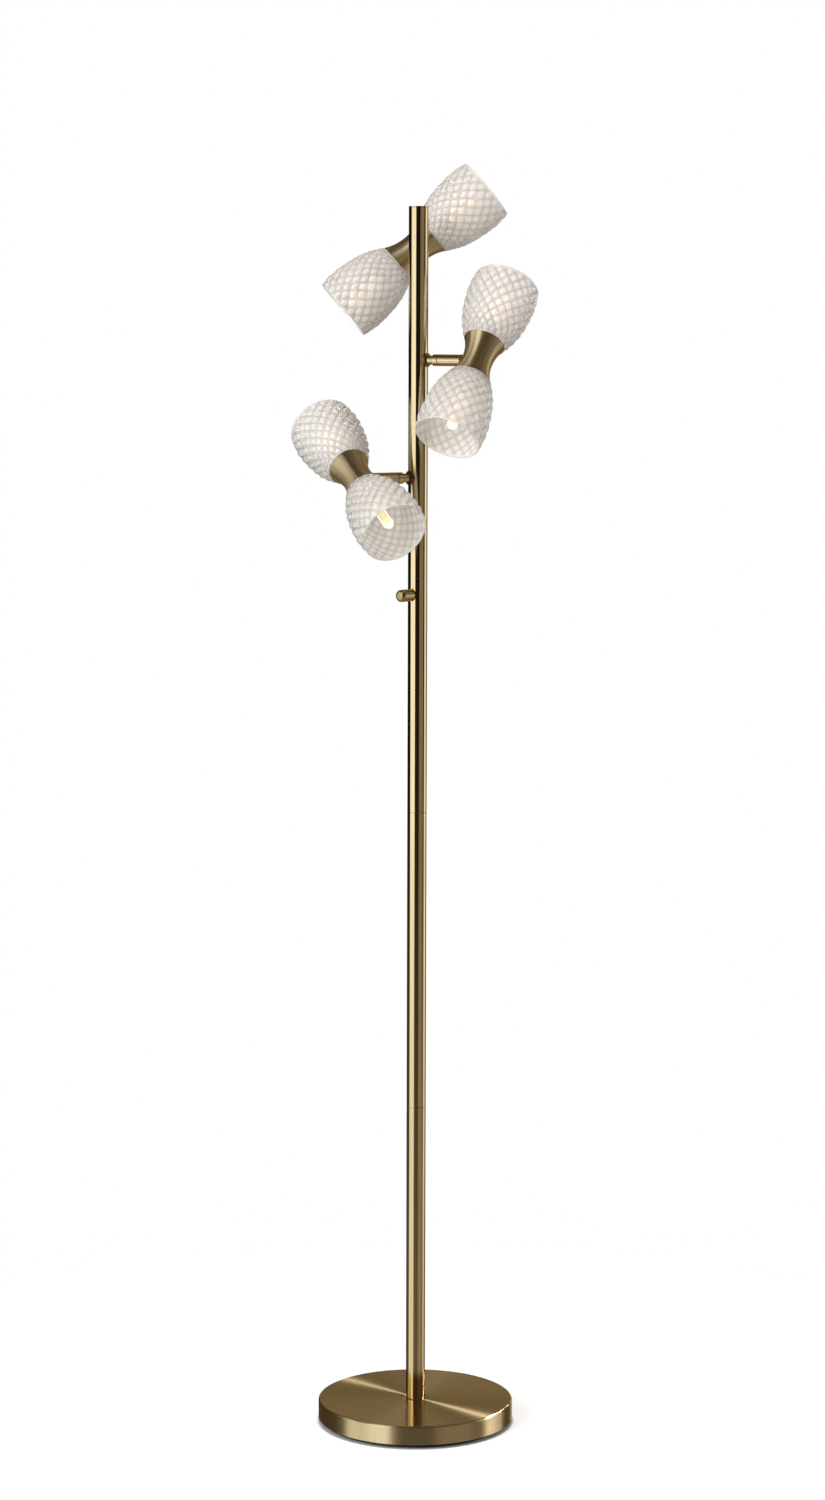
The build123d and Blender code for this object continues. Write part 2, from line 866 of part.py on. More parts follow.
def make_arm_and_head(name, azimuth, height, lean):
    direction = azimuth_direction(azimuth)
    middle = direction * head_reach + up * height
    lean_axis = up * cos(radians(lean)) + azimuth_tangent(azimuth) * sin(radians(lean))
    make_swivel_base(name, azimuth, height)
    make_spindle(name, azimuth, height)
    make_arm_tube(name, azimuth, height)
    make_head_shell(name, middle, direction, lean_axis)
    make_bracket(name, middle, direction, lean_axis)
    make_glass_clamps(name, middle, direction, lean_axis)
    for side, along in (("up", lean_axis), ("down", -lean_axis)):
        make_lampholder(name, side, middle, direction, along)
        make_bulb(name, side, middle, direction, along)
        make_shade(name, side, middle, direction, along)


make_foot_pad()
make_base_weight()
make_base_cover()
make_cord_inlet()
make_base_fixings()
make_pole()
make_cable()
make_switch()
make_arm_fixings()
for arm_name, arm_azimuth, arm_height, head_lean in arms:
    make_arm_and_head(arm_name, arm_azimuth, arm_height, head_lean)
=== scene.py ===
"""The looks of a tree floor lamp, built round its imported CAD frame.

Metres, +Z up, the viewer on the -Y side. Azimuths are in degrees: 0 points at the viewer
and +90 along +X. The pressed glass shades, the capsule bulbs, the turned head shells and the
three lengths of pole are modelled here, and every other node keeps its CAD mesh.
"""

import json
from math import cos, pi, radians, sin

import bpy
import numpy as np
from mathutils import Matrix, Vector

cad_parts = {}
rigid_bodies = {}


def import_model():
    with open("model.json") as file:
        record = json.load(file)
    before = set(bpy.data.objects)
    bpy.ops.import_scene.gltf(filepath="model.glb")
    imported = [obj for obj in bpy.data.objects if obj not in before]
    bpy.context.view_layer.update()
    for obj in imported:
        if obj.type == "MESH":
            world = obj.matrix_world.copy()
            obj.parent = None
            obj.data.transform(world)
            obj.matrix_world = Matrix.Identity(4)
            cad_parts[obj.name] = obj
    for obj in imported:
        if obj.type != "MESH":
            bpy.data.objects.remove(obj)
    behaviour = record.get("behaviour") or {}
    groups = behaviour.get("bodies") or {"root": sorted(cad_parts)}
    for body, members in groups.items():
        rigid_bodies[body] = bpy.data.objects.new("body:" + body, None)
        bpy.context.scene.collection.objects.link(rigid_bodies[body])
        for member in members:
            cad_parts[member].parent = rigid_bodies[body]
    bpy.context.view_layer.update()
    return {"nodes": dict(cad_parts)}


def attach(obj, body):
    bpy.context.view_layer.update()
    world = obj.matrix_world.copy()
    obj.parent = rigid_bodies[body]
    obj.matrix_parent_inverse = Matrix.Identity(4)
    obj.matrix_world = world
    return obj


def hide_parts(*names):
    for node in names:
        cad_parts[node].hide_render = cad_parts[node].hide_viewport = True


for stray in list(bpy.data.objects):
    bpy.data.objects.remove(stray)
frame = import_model()
scene = bpy.context.scene

MM = 0.001
UP = Vector((0, 0, 1))

# ---------------------------------------------------------------- sizes, in millimetres
# Camera, fitted to the ellipse of the base, the taper of the pole and the level arms
CAMERA_HEIGHT = 1450.0
CAMERA_DISTANCE = 4592.4
CAMERA_PITCH = 0.1222  # radians below the horizon
CAMERA_ROLL = 0.0029  # radians
FOCAL_PIXELS = 3603.1
IMAGE_SIZE = (825, 1500)
CENTRE_COLUMN = 417.2
SENSOR = 36.0

# Arms: name, azimuth, height, lean of the head
ARMS = [
    ("top", 183.5, 1524.0, -50.0),
    ("middle", 59.5, 1384.0, 38.5),
    ("low", -62.5, 1235.0, -59.0),
]
HEAD_REACH = 86.0

# Pole
POLE_RADIUS = 12.5
POLE_WALL = 1.2
POLE_STATIONS = (29.2, 420.0, 806.0, 1575.2)
SEAM_BEVEL = 0.35
POLE_SEGMENTS = 160

# Head shell
WAIST_RADIUS = 19.5
FLARE_RADIUS = 26.5
SHELL_RIM = 28.5
SHELL_WALL = 1.2
SHELL_SEGMENTS = 144

# Shade: outside radius against station from the middle of the head
SHADE_OUTSIDE = [(27.2, 29.0), (37.4, 51.25), (43.1, 78.55), (44.4, 104.03), (42.3, 119.5)]
GLASS_WALL = 3.0
MOUTH_WALL = 2.0
SHADE_FLOOR = 27.2
SHADE_NECK = [(12.0, 27.2), (12.0, 24.2), (22.4, 24.2), (24.4, 28.6)]
INNER_FLOOR_RADIUS = 19.4
SCALES_ROUND = 19
SCALE_STEPS = 10  # mesh steps across one scale
SCALE_ASPECT = 1.1  # length over width
SCALE_DEPTH = 1.8
SCALE_FULLNESS = 0.75  # below 1 the scales are fuller and the grooves sharper
SCALE_PROUD = 0.35
SCALE_INSIDE = 0.35  # how much of the relief shows on the inside
RIM_FADE = 1.2
SHOULDER_FADE = 2.5

# Capsule bulb, stations from the middle of the head
BULB_RADIUS = 6.8
BULB_START = 62.0
BULB_TIP = 106.5
BULB_WALL = 0.9
BULB_EDGE = 0.6
BULB_SEGMENTS = 48
PINCH_SIZE = (13.0, 4.2)
PINCH_BOTTOM = 50.2
PINCH_TOP = 62.4
COIL_RADIUS = 3.9
COIL_WIRE = 0.85
COIL_TURNS = 6
CORE_RADIUS = 3.1
CORE_FOOT_RADIUS = 1.6
CORE_SEGMENTS = 32
COIL_START = 76.0
COIL_END = 98.0
LEAD_RADIUS = 0.45
LEAD_RISE = 6.0  # from the pinch up to the bend, and as far down inside it
LEAD_BOW = 1.3  # how far the leads pass outside the coil
PIN_RADIUS = 0.6
PIN_HALF_SPACING = 4.5
PIN_END = 43.6
AXIS_RADIUS = 0.02  # stands for the axis where an outline ends on it
BULB_POWER = 0.022  # watts
BULB_LIGHT = (1.0, 0.92, 0.79)

FLOOR_RADIUS = 900.0
FLOOR_DROP = 0.2
FLOOR_SEGMENTS = 96
FLOOR_GREY = (0.5, 0.5, 0.5, 1)
FLOOR_GLOW = 0.62
GLOW_EDGE = (0.985, 1.03)  # where the glow starts and is full, over the base's radius
BASE_RADIUS = 127.0


# ---------------------------------------------------------------- mesh helpers
def new_piece(name, vertices, faces, material, smooth=True):
    """An object from vertices in millimetres."""
    mesh = bpy.data.meshes.new(name)
    mesh.from_pydata([tuple(c * MM for c in v) for v in vertices], [], faces)
    mesh.validate()
    mesh.update()
    if smooth:
        mesh.shade_smooth()
    mesh.materials.append(material)
    piece = bpy.data.objects.new(name, mesh)
    scene.collection.objects.link(piece)
    return piece


def lathe(points, segments, closed=True):
    """Vertices and quads of a closed outline (radius, station) turned about Z."""
    vertices = []
    for radius, station in points:
        for i in range(segments):
            angle = 2 * pi * i / segments
            vertices.append((radius * cos(angle), radius * sin(angle), station))
    faces = []
    rings = len(points)
    for j in range(rings if closed else rings - 1):
        k = (j + 1) % rings
        for i in range(segments):
            n = (i + 1) % segments
            faces.append((j * segments + i, j * segments + n, k * segments + n, k * segments + i))
    return vertices, faces


def cubic_through(points):
    """A natural cubic spline: radius as a function of station."""
    s = np.array([p[1] for p in points], float)
    r = np.array([p[0] for p in points], float)
    n = len(s)
    h = np.diff(s)
    matrix = np.eye(n)
    right = np.zeros(n)
    for i in range(1, n - 1):
        matrix[i, i - 1 : i + 2] = h[i - 1], 2 * (h[i - 1] + h[i]), h[i]
        right[i] = 6 * ((r[i + 1] - r[i]) / h[i] - (r[i] - r[i - 1]) / h[i - 1])
    bend = np.linalg.solve(matrix, right)

    def radius(station):
        i = int(np.clip(np.searchsorted(s, station) - 1, 0, n - 2))
        a, b = s[i + 1] - station, station - s[i]
        return (
            (bend[i] * a**3 + bend[i + 1] * b**3) / (6 * h[i])
            + (r[i] / h[i] - bend[i] * h[i] / 6) * a
            + (r[i + 1] / h[i] - bend[i + 1] * h[i] / 6) * b
        )

    return radius


def smoothstep(value):
    value = min(max(value, 0.0), 1.0)
    return value * value * (3 - 2 * value)


def tube(path, radius, sides=10):
    """Vertices and faces of a capped tube along the path, with a frame carried along it."""
    vertices, faces = [], []
    points = [Vector(p) for p in path]
    side = None
    for index, point in enumerate(points):
        ahead = points[min(index + 1, len(points) - 1)]
        behind = points[max(index - 1, 0)]
        along = (ahead - behind).normalized()
        if side is None:
            side = along.orthogonal().normalized()
        side = (side - along * side.dot(along)).normalized()
        other = along.cross(side)
        for k in range(sides):
            angle = 2 * pi * k / sides
            vertices.append(tuple(point + radius * (side * cos(angle) + other * sin(angle))))
    for index in range(len(points) - 1):
        for k in range(sides):
            n = (k + 1) % sides
            here, beyond = index * sides, (index + 1) * sides
            faces.append((here + k, here + n, beyond + n, beyond + k))
    faces.append(tuple(reversed(range(sides))))
    faces.append(tuple((len(points) - 1) * sides + k for k in range(sides)))
    return vertices, faces


def merged(*parts):
    """Several (vertices, faces) pairs as one."""
    vertices, faces = [], []
    for part_vertices, part_faces in parts:
        start = len(vertices)
        vertices += part_vertices
        faces += [tuple(start + i for i in face) for face in part_faces]
    return vertices, faces


# ---------------------------------------------------------------- materials
NOISE_SPAN = (0.3, 0.7)  # what most of a noise texture lies between
FLAT_TOP = 0.9  # Z of the normal above which a face counts as a flat top


def node_material(name):
    material = bpy.data.materials.new(name)
    material.use_nodes = True
    tree = material.node_tree
    return material, tree, tree.nodes["Principled BSDF"]


def add(tree, kind, **settings):
    node = tree.nodes.new(kind)
    for key, value in settings.items():
        setattr(node, key, value)
    return node


def stretched_noise(tree, scale, stretch, detail=3.0):
    """Noise in object space, with its own scale along each axis."""
    place = add(tree, "ShaderNodeTexCoord")
    mapping = add(tree, "ShaderNodeMapping")
    mapping.inputs["Scale"].default_value = stretch
    noise = add(tree, "ShaderNodeTexNoise")
    noise.inputs["Scale"].default_value = scale
    noise.inputs["Detail"].default_value = detail
    tree.links.new(place.outputs["Object"], mapping.inputs["Vector"])
    tree.links.new(mapping.outputs["Vector"], noise.inputs["Vector"])
    return noise


def ramp_between(tree, factor, low, high, start=0.35, end=0.65):
    ramp = add(tree, "ShaderNodeValToRGB")
    ramp.color_ramp.elements[0].position = start
    ramp.color_ramp.elements[1].position = end
    ramp.color_ramp.elements[0].color = (*low, 1)
    ramp.color_ramp.elements[1].color = (*high, 1)
    tree.links.new(factor, ramp.inputs["Fac"])
    return ramp.outputs["Color"]


def value_between(tree, factor, low, high):
    """A value that follows a noise texture from low to high."""
    span = add(tree, "ShaderNodeMapRange")
    span.inputs["From Min"].default_value = NOISE_SPAN[0]
    span.inputs["From Max"].default_value = NOISE_SPAN[1]
    span.inputs["To Min"].default_value = low
    span.inputs["To Max"].default_value = high
    tree.links.new(factor, span.inputs["Value"])
    return span.outputs["Result"]


def bump(tree, shader, height, strength, distance):
    node = add(tree, "ShaderNodeBump")
    node.inputs["Strength"].default_value = strength
    node.inputs["Distance"].default_value = distance
    tree.links.new(height, node.inputs["Height"])
    tree.links.new(node.outputs["Normal"], shader.inputs["Normal"])


def brass(name, low, high, roughness, stretch, scale, brushed, upright=1.0):
    """Satin brass. Where brushed is above 0 its fine grooves run round the object's own Z axis,
    and spread the light across them. All faces but flat tops are rougher by the factor upright.
    """
    material, tree, shader = node_material(name)
    noise = stretched_noise(tree, scale, stretch)
    shader.inputs["Metallic"].default_value = 1.0
    tree.links.new(ramp_between(tree, noise.outputs["Fac"], low, high), shader.inputs["Base Color"])
    grain = value_between(tree, noise.outputs["Fac"], roughness * 0.96, roughness * 1.04)
    if upright != 1:
        place = add(tree, "ShaderNodeTexCoord")
        parts = add(tree, "ShaderNodeSeparateXYZ")
        tree.links.new(place.outputs["Normal"], parts.inputs[0])
        span = add(tree, "ShaderNodeMapRange")
        span.inputs["From Min"].default_value = FLAT_TOP
        span.inputs["To Min"].default_value = upright
        span.inputs["To Max"].default_value = 1
        tree.links.new(parts.outputs["Z"], span.inputs["Value"])
        product = add(tree, "ShaderNodeMath", operation="MULTIPLY")
        tree.links.new(grain, product.inputs[0])
        tree.links.new(span.outputs["Result"], product.inputs[1])
        grain = product.outputs[0]
    tree.links.new(grain, shader.inputs["Roughness"])
    shader.inputs["Specular Tint"].default_value = BRASS_EDGE
    if brushed:
        shader.inputs["Anisotropic"].default_value = brushed
        shader.inputs["Anisotropic Rotation"].default_value = 0.25
        tangent = add(tree, "ShaderNodeTangent", direction_type="RADIAL", axis="Z")
        tree.links.new(tangent.outputs["Tangent"], shader.inputs["Tangent"])
    return material


def plain(name, low, high, roughness, scale, metallic=0.0, bumpiness=0.15, grain=0.0002):
    """A painted, moulded or plated finish with a fine grain."""
    material, tree, shader = node_material(name)
    noise = stretched_noise(tree, scale, (1, 1, 1), 4.0)
    shader.inputs["Metallic"].default_value = metallic
    tree.links.new(ramp_between(tree, noise.outputs["Fac"], low, high), shader.inputs["Base Color"])
    tree.links.new(
        value_between(tree, noise.outputs["Fac"], roughness - 0.05, roughness + 0.05),
        shader.inputs["Roughness"],
    )
    bump(tree, shader, noise.outputs["Fac"], bumpiness, grain)
    return material


BRASS_LOW = (0.57, 0.44, 0.245)
BRASS_HIGH = (0.64, 0.5, 0.285)
BRASS_EDGE = (0.92, 0.79, 0.57, 1)
EVEN = (80, 80, 80)  # a grain that runs no way in particular
brass_pole = brass("brass_pole", BRASS_LOW, BRASS_HIGH, 0.11, (60, 60, 1.5), 6, 0.9)
brass_head = brass("brass_head", BRASS_LOW, BRASS_HIGH, 0.4, (12, 12, 260), 8, 1.0)
brass_base = brass("brass_base", BRASS_LOW, BRASS_HIGH, 0.2, (40, 40, 40), 9, 1.0, 1.7)
brass_small = brass("brass_small", BRASS_LOW, BRASS_HIGH, 0.12, EVEN, 8, 0.0)
brass_dark = brass("brass_dark", (0.10, 0.065, 0.03), (0.17, 0.115, 0.06), 0.3, EVEN, 8, 0.0)
# Painted shade: the knob's brass is a copy of the others at about half their brightness
brass_knob_painted_shade = brass("brass_knob_painted_shade", (0.33, 0.24, 0.12), (0.4, 0.3, 0.16), 0.2, EVEN, 8, 0.0)
black_iron = plain("black_iron", (0.018, 0.018, 0.018), (0.035, 0.034, 0.033), 0.5, 400)
black_rubber = plain("black_rubber", (0.014, 0.014, 0.014), (0.026, 0.026, 0.026), 0.75, 900)
black_plastic = plain("black_plastic", (0.02, 0.02, 0.02), (0.04, 0.04, 0.04), 0.45, 1200)
cable_sheath = plain("cable_sheath", (0.04, 0.04, 0.04), (0.06, 0.06, 0.06), 0.5, 700)
porcelain = plain("porcelain", (0.80, 0.79, 0.75), (0.88, 0.87, 0.83), 0.4, 500, 0.0, 0.1)
zinc_steel = plain("zinc_steel", (0.55, 0.55, 0.53), (0.68, 0.68, 0.66), 0.35, 600, 1.0, 0.1)


def glass_material(name, groove, crown, roughness, transmission):
    """Pressed glass, darker in colour in the grooves than on the crowns of its scales: painted
    shade for the dark net the relief shows.
    """
    material, tree, shader = node_material(name)
    noise = stretched_noise(tree, 140, (1, 1, 1), 2.0)
    relief = add(tree, "ShaderNodeAttribute", attribute_name="relief")
    tree.links.new(
        ramp_between(tree, relief.outputs["Fac"], groove, crown, 0.1, 0.75),
        shader.inputs["Base Color"],
    )
    tree.links.new(
        value_between(tree, noise.outputs["Fac"], roughness * 0.8, roughness * 1.2),
        shader.inputs["Roughness"],
    )
    shader.inputs["IOR"].default_value = 1.5
    shader.inputs["Specular IOR Level"].default_value = 0.9
    shader.inputs["Transmission Weight"].default_value = transmission
    bump(tree, shader, noise.outputs["Fac"], 0.1, 0.0003)
    return material


def lamp_glass():
    """The clear capsule, with the faint glow that the lit coil gives to it."""
    material, tree, shader = node_material("lamp_glass")
    noise = stretched_noise(tree, 90, (1, 1, 1), 1.0)
    tree.links.new(
        ramp_between(tree, noise.outputs["Fac"], (0.96, 0.91, 0.82), (1.0, 0.96, 0.88)),
        shader.inputs["Base Color"],
    )
    tree.links.new(
        value_between(tree, noise.outputs["Fac"], 0.02, 0.05), shader.inputs["Roughness"]
    )
    shader.inputs["IOR"].default_value = 1.46
    shader.inputs["Transmission Weight"].default_value = 1.0
    shader.inputs["Emission Color"].default_value = (1.0, 0.95, 0.74, 1)
    shader.inputs["Emission Strength"].default_value = 0.22
    return material


def glowing(name, low, high, strength):
    """A hot wire or pillar, which gives off its own light."""
    material, tree, shader = node_material(name)
    noise = stretched_noise(tree, 300, (1, 1, 1), 2.0)
    shader.inputs["Base Color"].default_value = (0.5, 0.25, 0.1, 1)
    tree.links.new(
        ramp_between(tree, noise.outputs["Fac"], low, high), shader.inputs["Emission Color"]
    )
    shader.inputs["Emission Strength"].default_value = strength
    return material


# The groove colours are painted shade; the crown colours are the glass's own
glass = glass_material("pressed_glass", (0.8, 0.745, 0.7), (0.92, 0.89, 0.86), 0.07, 0.72)
etched_glass = glass_material("etched_glass", (0.72, 0.7, 0.68), (0.98, 0.965, 0.95), 0.4, 0.52)
capsule_glass = lamp_glass()
hot_wire = glowing("hot_wire", (0.6, 0.27, 0.08), (0.75, 0.36, 0.12), 0.3)
hot_core = glowing("hot_core", (1.0, 0.86, 0.6), (1.0, 0.93, 0.72), 0.55)

SLOT_MATERIALS = {
    "antique_brass": brass_small,
    "dark_brass": brass_dark,
    "pressed_glass": glass,
    "lamp_glass": capsule_glass,
    "porcelain": porcelain,
    "black_iron": black_iron,
    "black_rubber": black_rubber,
    "black_plastic": black_plastic,
    "cable_sheath": cable_sheath,
    "zinc_steel": zinc_steel,
}
for node in frame["nodes"].values():
    for material_slot in node.material_slots:
        material_slot.material = SLOT_MATERIALS[material_slot.material.name.split(".")[0]]
frame["nodes"]["base_cover"].material_slots[0].material = brass_base
frame["nodes"]["pole_cap"].material_slots[0].material = brass_pole
# The knob takes the darker copy of the brass, with painted shade in its colour
frame["nodes"]["switch_knob"].material_slots[0].material = brass_knob_painted_shade


# ---------------------------------------------------------------- pole
def make_pole():
    bore = POLE_RADIUS - POLE_WALL
    inner = POLE_RADIUS - SEAM_BEVEL
    names = ("pole_lower", "pole_middle", "pole_upper")
    for name, bottom, top in zip(names, POLE_STATIONS, POLE_STATIONS[1:]):
        outline = [
            (inner, bottom),
            (POLE_RADIUS, bottom + SEAM_BEVEL),
            (POLE_RADIUS, bottom + 3 * SEAM_BEVEL),
            (POLE_RADIUS, top - 3 * SEAM_BEVEL),
            (POLE_RADIUS, top - SEAM_BEVEL),
            (inner, top),
            (bore, top),
            (bore, bottom),
        ]
        piece = new_piece(f"{name}_tube", *lathe(outline, POLE_SEGMENTS), brass_pole)
        sharpen(piece)
        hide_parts(name)
        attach(piece, "root")


def sharpen(piece, angle=25):
    """Keep edges sharper than the angle crisp under smooth shading."""
    piece.data.set_sharp_from_angle(angle=radians(angle))


# ---------------------------------------------------------------- heads
def head_frame(azimuth, height, lean):
    """Middle of the head, the arm's direction and the axis of the shell."""
    direction = Vector((sin(radians(azimuth)), -cos(radians(azimuth)), 0))
    tangent = Vector((cos(radians(azimuth)), sin(radians(azimuth)), 0))
    middle = (direction * HEAD_REACH + UP * height) * MM
    axis = UP * cos(radians(lean)) + tangent * sin(radians(lean))
    return middle, direction, axis


def placed(middle, x_axis, z_axis):
    """The matrix whose local Z is the axis and whose origin is the middle of the head."""
    y_axis = z_axis.cross(x_axis)
    matrix = Matrix((x_axis, y_axis, z_axis)).transposed().to_4x4()
    matrix.translation = middle
    return matrix


def shell_outline():
    """The hourglass: an arc through the waist and both rims, with a wall and rounded rims."""
    chord_rise = FLARE_RADIUS - WAIST_RADIUS
    arc_radius = (SHELL_RIM**2 + chord_rise**2) / (2 * chord_rise)
    centre = WAIST_RADIUS + arc_radius
    steps = 40
    outside, inside = [], []
    for k in range(steps + 1):
        station = SHELL_RIM * (2 * k / steps - 1)
        radius = centre - (arc_radius**2 - station**2) ** 0.5
        outside.append((radius, station))
        inside.append((radius - SHELL_WALL, station))
    round_rim = 0.3
    outside[0] = (outside[0][0] - round_rim, outside[0][1])
    outside[-1] = (outside[-1][0] - round_rim, outside[-1][1])
    outside.insert(1, (outside[0][0] + round_rim * 0.95, -SHELL_RIM + round_rim))
    outside.insert(-1, (outside[-1][0] + round_rim * 0.95, SHELL_RIM - round_rim))
    return outside + inside[::-1]


def make_shell(name, middle, direction, axis):
    piece = new_piece(f"head_{name}_shell", *lathe(shell_outline(), SHELL_SEGMENTS), brass_head)
    sharpen(piece)
    piece.matrix_world = placed(middle, direction, axis)
    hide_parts(f"head_shell_{name}")
    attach(piece, f"head_{name}")


# ---------------------------------------------------------------- glass
def shade_mesh():
    """A bell covered by staggered rows of rounded scales, softer on the inside.

    Gives its vertices and faces, how high on a scale each vertex is from 0 to 1, and how many of
    the faces come before the etched lip and inside.
    """
    outside = cubic_through(SHADE_OUTSIDE)
    first, last = SHADE_OUTSIDE[0][1], SHADE_OUTSIDE[-1][1]
    samples = np.linspace(first, last, 400)
    radii = np.array([outside(s) for s in samples])
    density = SCALES_ROUND / (2 * pi * radii * SCALE_ASPECT)
    scales = np.concatenate([[0], np.cumsum((density[1:] + density[:-1]) / 2 * np.diff(samples))])
    rows = int(round(scales[-1] * SCALE_STEPS))
    stations = np.interp(np.arange(rows + 1) / rows * scales[-1], scales, samples)
    columns = SCALES_ROUND * SCALE_STEPS
    half = SCALE_STEPS // 2

    rings, crowns = [], []

    def plain_ring(radius, station):
        rings.append([(radius, station)] * columns)
        crowns.append([0.5] * columns)

    def scaled_ring(profile, row, station, share):
        """A ring whose points are lifted off the profile by the scales."""
        radius = profile(station)
        slope = (profile(station + 0.1) - profile(station - 0.1)) / 0.2
        length = (1 + slope**2) ** 0.5
        fade = smoothstep((station - first) / SHOULDER_FADE) * smoothstep(
            (last - station) / RIM_FADE
        )
        ring, ring_crowns = [], []
        for column in range(columns):
            a = (row + column) / SCALE_STEPS
            b = (row - column) / SCALE_STEPS
            crown = abs(cos(pi * a) * cos(pi * b)) ** SCALE_FULLNESS
            lift = (SCALE_DEPTH * (crown - 1) + SCALE_PROUD) * fade * share
            ring.append((radius + lift / length, station - lift * slope / length))
            ring_crowns.append(1 + (crown - 1) * fade)
        rings.append(ring)
        crowns.append(ring_crowns)

    for radius, station in SHADE_NECK:
        plain_ring(radius, station)
    for row, station in enumerate(stations):
        scaled_ring(outside, row, station, 1)
    lip = MOUTH_WALL / 2
    mouth = SHADE_OUTSIDE[-1][0]
    first_etched = len(rings)
    for k in range(1, 8):
        angle = pi * k / 8
        plain_ring(mouth - lip + lip * cos(angle), last + lip * sin(angle))
    inside_points = [(INNER_FLOOR_RADIUS, SHADE_FLOOR)]
    for before, here, after in zip(SHADE_OUTSIDE, SHADE_OUTSIDE[1:], SHADE_OUTSIDE[2:]):
        run, rise = after[0] - before[0], after[1] - before[1]
        length = (run**2 + rise**2) ** 0.5
        inside_points.append(
            (here[0] - GLASS_WALL * rise / length, here[1] + GLASS_WALL * run / length)
        )
    inside_points.append((mouth - MOUTH_WALL, last))
    inside = cubic_through(inside_points)
    inside_start = len(rings)
    for row, station in reversed(list(enumerate(stations))):
        scaled_ring(inside, row, station, SCALE_INSIDE)
    plain_ring(INNER_FLOOR_RADIUS, SHADE_FLOOR)

    angles = 2 * pi * np.arange(columns) / columns
    vertices = [
        (radius * cos(angle), radius * sin(angle), station)
        for ring in rings
        for (radius, station), angle in zip(ring, angles)
    ]
    # A quad that a groove crosses is split along it, so the grooves stay crisp
    faces = []
    count = len(rings)
    offset = len(SHADE_NECK)
    for j in range(count):
        k = (j + 1) % count
        if j == first_etched:
            outer_faces = len(faces)
        for i in range(columns):
            n = (i + 1) % columns
            corners = (
                j * columns + i,
                j * columns + n,
                k * columns + n,
                k * columns + i,
            )
            row = j - offset
            falling = (row + i + 1) % SCALE_STEPS == half
            if j >= inside_start:
                row = rows - 1 - (j - inside_start)
                falling = (row - i) % SCALE_STEPS == half
            if not 0 <= row < rows:
                faces.append(corners)
            elif falling:
                faces += [
                    (corners[0], corners[1], corners[3]),
                    (corners[1], corners[2], corners[3]),
                ]
            else:
                faces += [
                    (corners[0], corners[1], corners[2]),
                    (corners[0], corners[2], corners[3]),
                ]
    return vertices, faces, np.concatenate(crowns), outer_faces


def rounded_box(width, depth, bottom, top, radius=0.6):
    """A block with its upright edges rounded."""
    outline = []
    for cx, cy, start in (
        (width / 2 - radius, depth / 2 - radius, 0),
        (radius - width / 2, depth / 2 - radius, 90),
        (radius - width / 2, radius - depth / 2, 180),
        (width / 2 - radius, radius - depth / 2, 270),
    ):
        for step in range(5):
            angle = radians(start + step * 22.5)
            outline.append((cx + radius * cos(angle), cy + radius * sin(angle)))
    count = len(outline)
    vertices = [(x, y, bottom) for x, y in outline] + [(x, y, top) for x, y in outline]
    faces = [(i, (i + 1) % count, count + (i + 1) % count, count + i) for i in range(count)]
    faces.append(tuple(reversed(range(count))))
    faces.append(tuple(range(count, 2 * count)))
    return vertices, faces


def capsule_outline(radius, start, tip):
    """From the axis at the flat end, up the side and over the dome."""
    points = [(AXIS_RADIUS, start), (radius - BULB_EDGE, start), (radius, start + BULB_EDGE)]
    side_end = tip - radius
    for k in range(13):
        angle = pi / 2 * k / 12
        points.append((max(radius * cos(angle), AXIS_RADIUS), side_end + radius * sin(angle)))
    return points


def bulb_glass_mesh():
    """The capsule's outside and inside, and the flat pinch below it."""
    outer = capsule_outline(BULB_RADIUS, BULB_START, BULB_TIP)
    inner = capsule_outline(BULB_RADIUS - BULB_WALL, BULB_START + BULB_WALL, BULB_TIP - BULB_WALL)
    outer_part = capped(outer, BULB_SEGMENTS)
    inner_vertices, inner_faces = capped(inner, BULB_SEGMENTS)
    inner_part = (inner_vertices, [tuple(reversed(face)) for face in inner_faces])
    return merged(outer_part, inner_part, rounded_box(*PINCH_SIZE, PINCH_BOTTOM, PINCH_TOP))


def capped(points, segments):
    """An outline turned about Z, with a face closing each end."""
    vertices, faces = lathe(points, segments, closed=False)
    faces.append(tuple(reversed(range(segments))))
    start = (len(points) - 1) * segments
    faces.append(tuple(start + i for i in range(segments)))
    return vertices, faces


def coil_mesh():
    """A wide coil of wire, whose last fifth draws in towards the axis."""
    steps = 26
    path = []
    for k in range(COIL_TURNS * steps + 1):
        share = k / (COIL_TURNS * steps)
        angle = 2 * pi * k / steps
        radius = COIL_RADIUS * (1 - 0.45 * smoothstep((share - 0.8) / 0.2))
        station = COIL_START + (COIL_END - COIL_START) * share
        path.append((radius * cos(angle), radius * sin(angle), station))
    return tube(path, COIL_WIRE)


def core_mesh():
    """The slim pillar that the coil is wound on, domed at its end."""
    points = [
        (AXIS_RADIUS, PINCH_TOP),
        (CORE_FOOT_RADIUS, PINCH_TOP),
        (CORE_FOOT_RADIUS, COIL_START - 2),
        (CORE_RADIUS, COIL_START - 1),
    ]
    for k in range(7):
        angle = pi / 2 * k / 6
        radius = max(CORE_RADIUS * cos(angle), AXIS_RADIUS)
        points.append((radius, COIL_END - 1.5 + CORE_RADIUS * 0.6 * sin(angle)))
    return capped(points, CORE_SEGMENTS)


def leads_mesh():
    """The two leads from the pinch to the ends of the coil, and the two pins below it."""
    bow = COIL_RADIUS + LEAD_BOW
    ends = {
        1: [(COIL_RADIUS, 0, COIL_START)],
        -1: [(-bow, 0, COIL_END - 3), (-2.0, 0, COIL_END)],
    }
    parts = []
    for side, end in ends.items():
        foot = (side * PIN_HALF_SPACING * 0.5, 0, PINCH_TOP - LEAD_RISE)
        bend = (side * bow, 0, PINCH_TOP + LEAD_RISE)
        parts.append(tube([foot, bend, *end], LEAD_RADIUS, 8))
        pin = [(side * PIN_HALF_SPACING, 0, z) for z in (PIN_END, PINCH_BOTTOM + 1)]
        parts.append(tube(pin, PIN_RADIUS, 10))
    return merged(*parts)


